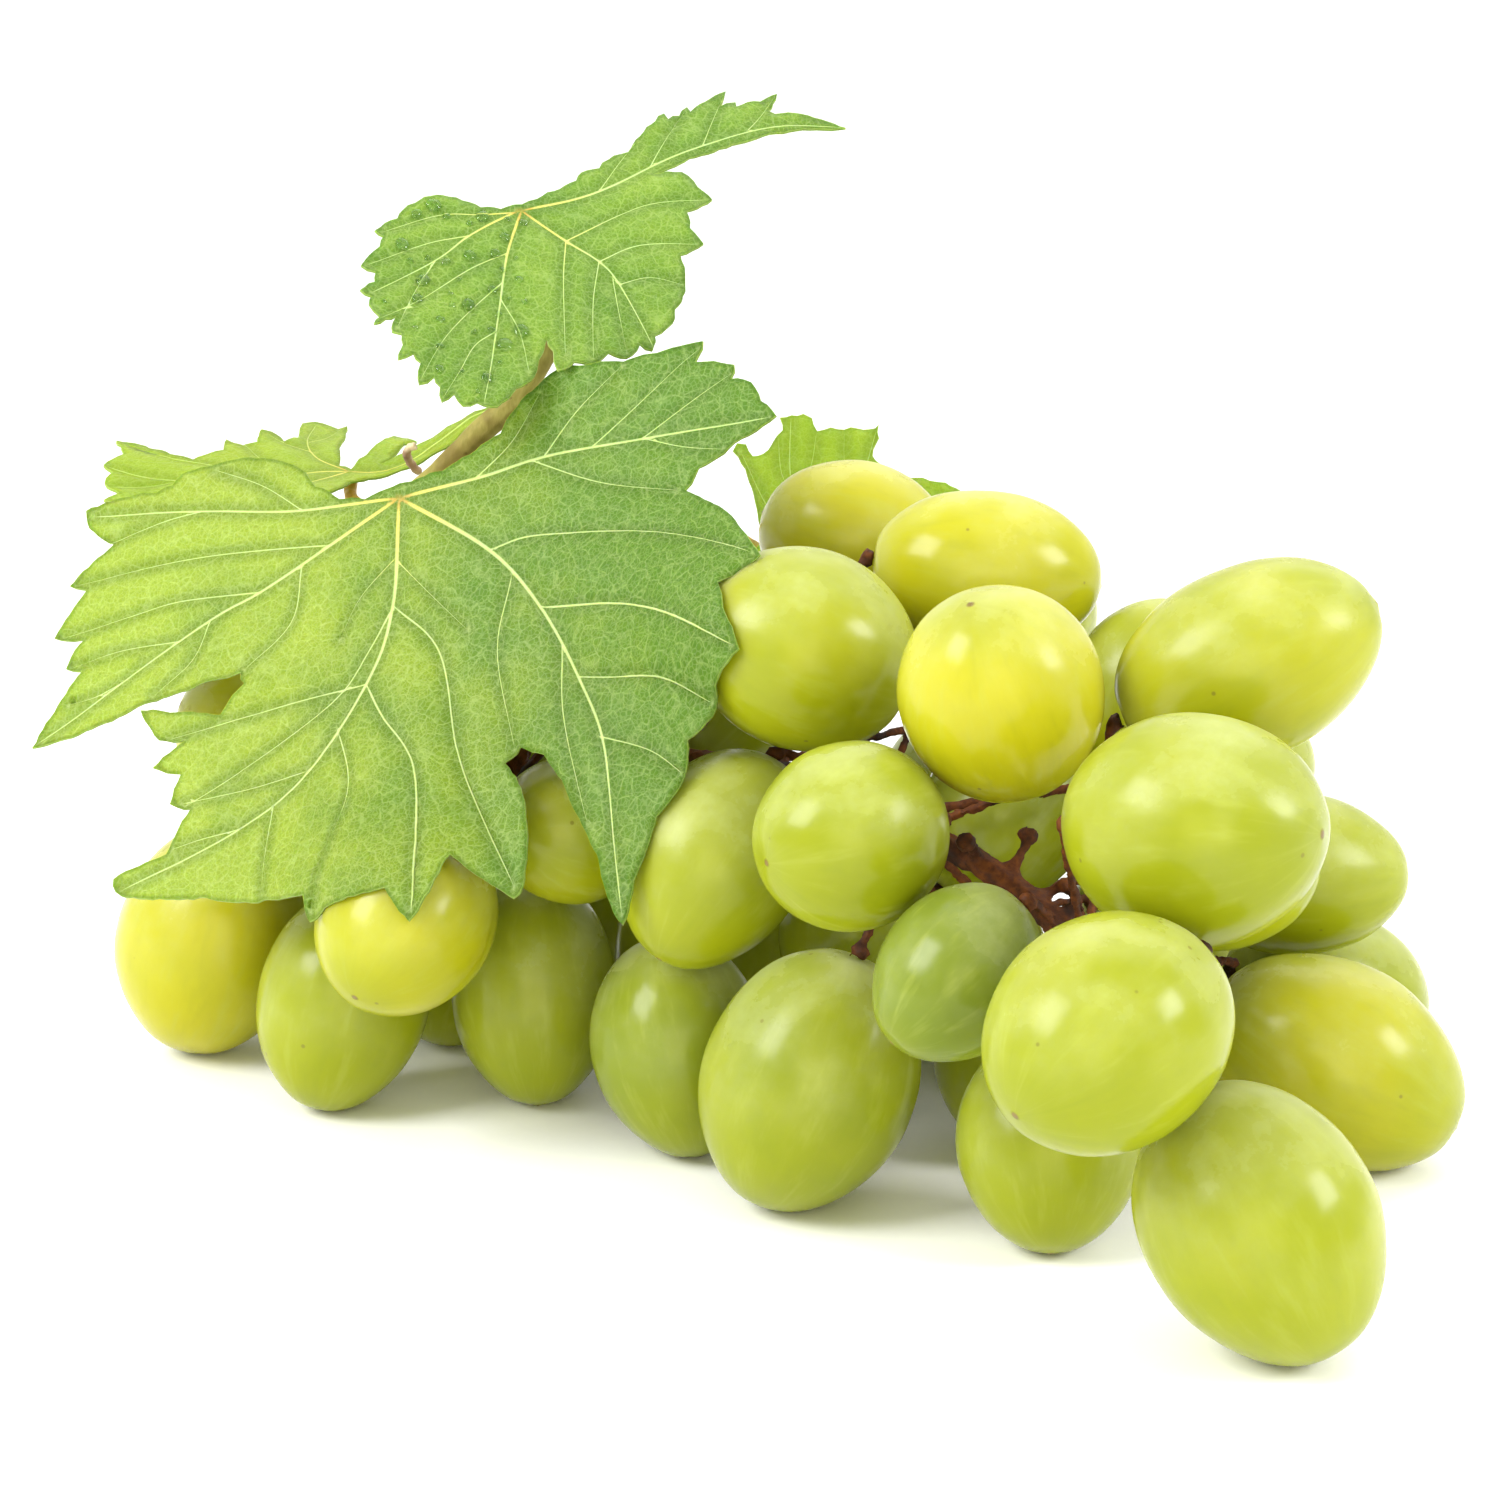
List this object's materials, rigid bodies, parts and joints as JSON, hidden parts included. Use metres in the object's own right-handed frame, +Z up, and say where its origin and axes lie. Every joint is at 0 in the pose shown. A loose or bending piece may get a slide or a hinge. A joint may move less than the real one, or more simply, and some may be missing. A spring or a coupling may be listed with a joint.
{
  "type": "bunch of grapes",
  "caption": "Bunch of oval green table grapes lying on its side, with its branched stem, a short cut cane and lobed vine leaves.",
  "frame": {"origin": "centre of the bunch's footprint box, on the surface it lies on", "axes": "+Z up; +X along the lying bunch, from the cut cane to the tip; +Y away from the side that carries the big front leaf"},
  "size_m": [0.1686, 0.111, 0.1049],
  "materials": {
    "berry": "satin",
    "leaf": "matte",
    "stem": "matte",
    "cane": "matte",
    "tendril": "matte",
    "petiole": "satin"
  },
  "bodies": {
    "root": {"berry_01": "berry", "berry_02": "berry", "berry_03": "berry", "berry_04": "berry", "berry_05": "berry", "berry_06": "berry", "berry_07": "berry", "berry_08": "berry", "berry_09": "berry", "berry_10": "berry", "berry_11": "berry", "berry_12": "berry", "berry_13": "berry", "berry_14": "berry", "berry_15": "berry", "berry_16": "berry", "berry_17": "berry", "berry_18": "berry", "berry_19": "berry", "berry_20": "berry", "berry_21": "berry", "berry_22": "berry", "berry_23": "berry", "berry_24": "berry", "berry_25": "berry", "berry_26": "berry", "berry_27": "berry", "berry_28": "berry", "berry_29": "berry", "berry_30": "berry", "berry_31": "berry", "berry_32": "berry", "berry_33": "berry", "berry_34": "berry", "berry_35": "berry", "berry_36": "berry", "berry_37": "berry", "berry_38": "berry", "berry_39": "berry", "berry_40": "berry", "berry_41": "berry", "berry_42": "berry", "berry_43": "berry", "berry_44": "berry", "berry_45": "berry", "leaf_front": "leaf", "leaf_top": "leaf", "leaf_left": "leaf", "leaf_back": "leaf", "stem": "stem", "cane": "cane", "tendril": "tendril", "petiole_front": "petiole", "petiole_left": "petiole", "petiole_top": "petiole", "petiole_back": "petiole"}
  },
  "joints": []
}
